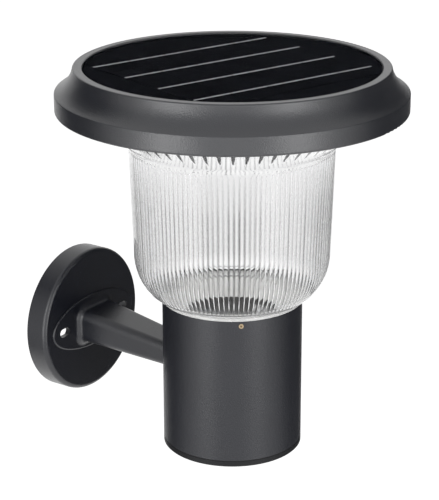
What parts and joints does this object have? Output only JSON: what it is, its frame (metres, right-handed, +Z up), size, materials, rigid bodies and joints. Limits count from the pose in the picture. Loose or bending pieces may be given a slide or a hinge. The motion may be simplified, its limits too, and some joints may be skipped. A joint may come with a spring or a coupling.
{
  "type": "solar wall light",
  "caption": "Round solar wall light: hood with a solar panel on top, clear fluted lens, support tube and a cast arm on a round wall plate.",
  "frame": {"origin": "centre of the wall plate's back face, on the wall", "axes": "+Y into the wall, +Z up, the lamp stands on the -Y side"},
  "size_m": [0.2, 0.221, 0.2291],
  "materials": {
    "bracket_coat": "fine matt powder coat",
    "tube_coat": "fine matt powder coat",
    "hood_plastic": "fine moulded texture",
    "cap_plastic": "moulded",
    "lens_clear": "clear moulded plastic with upright flutes",
    "panel_clear": "clear cover sheet",
    "cell_black": "dark silicon",
    "board_black": "black board",
    "busbar_tin": "tinned ribbon",
    "seal_rubber": "soft seal",
    "screw_steel": "plated steel",
    "screw_brass": "plain brass",
    "saddle_metal": "cast",
    "white_plastic": "white moulding",
    "led_board_white": "white solder mask",
    "led_phosphor": "phosphor dome",
    "plug_rubber": "black rubber",
    "board_green": "green solder mask",
    "component_black": "moulded parts",
    "battery_wrap": "shrink sleeve",
    "switch_black": "switch case",
    "button_rubber": "rubber key",
    "lead_sleeve": "wire insulation"
  },
  "bodies": {
    "bracket": {"wall_bracket": "bracket_coat", "body_tube": "tube_coat", "set_screws": "screw_brass", "clamp_saddle": "saddle_metal", "arm_bolts": "screw_steel", "base_cap": "cap_plastic", "base_gasket": "seal_rubber"},
    "button": {"power_button": "button_rubber"},
    "head": {"hood": "hood_plastic", "underplate": "hood_plastic", "lens": "lens_clear", "panel_cover": "panel_clear", "solar_cells": "cell_black", "panel_backboard": "board_black", "busbars": "busbar_tin", "panel_gasket": "seal_rubber", "lens_gasket": "seal_rubber", "seat_screws": "screw_steel", "underplate_screws": "screw_steel", "reflector_screws": "screw_steel", "led_screws": "screw_steel", "board_screws": "screw_steel", "battery_contacts": "screw_steel", "reflector": "white_plastic", "head_seat": "white_plastic", "led_board": "led_board_white", "leds": "led_phosphor", "socket_plug": "plug_rubber", "control_board": "board_green", "board_parts": "component_black", "battery_holder": "component_black", "battery_cells": "battery_wrap", "switch_body": "switch_black", "panel_leads": "lead_sleeve", "led_leads": "lead_sleeve", "battery_leads": "lead_sleeve", "switch_leads": "lead_sleeve"}
  },
  "joints": [
    {"name": "head_turn", "type": "hinge", "parent": "bracket", "child": "head", "pos_m": [0, -0.121, 0], "axis": [0, 0, 1], "continuous": true},
    {"name": "button_press", "type": "slide", "parent": "head", "child": "button", "axis": [0, 0, 1], "range_m": [0, 0.0012], "stiffness_N_per_m": 1500, "springref_m": -0.0005}
  ]
}
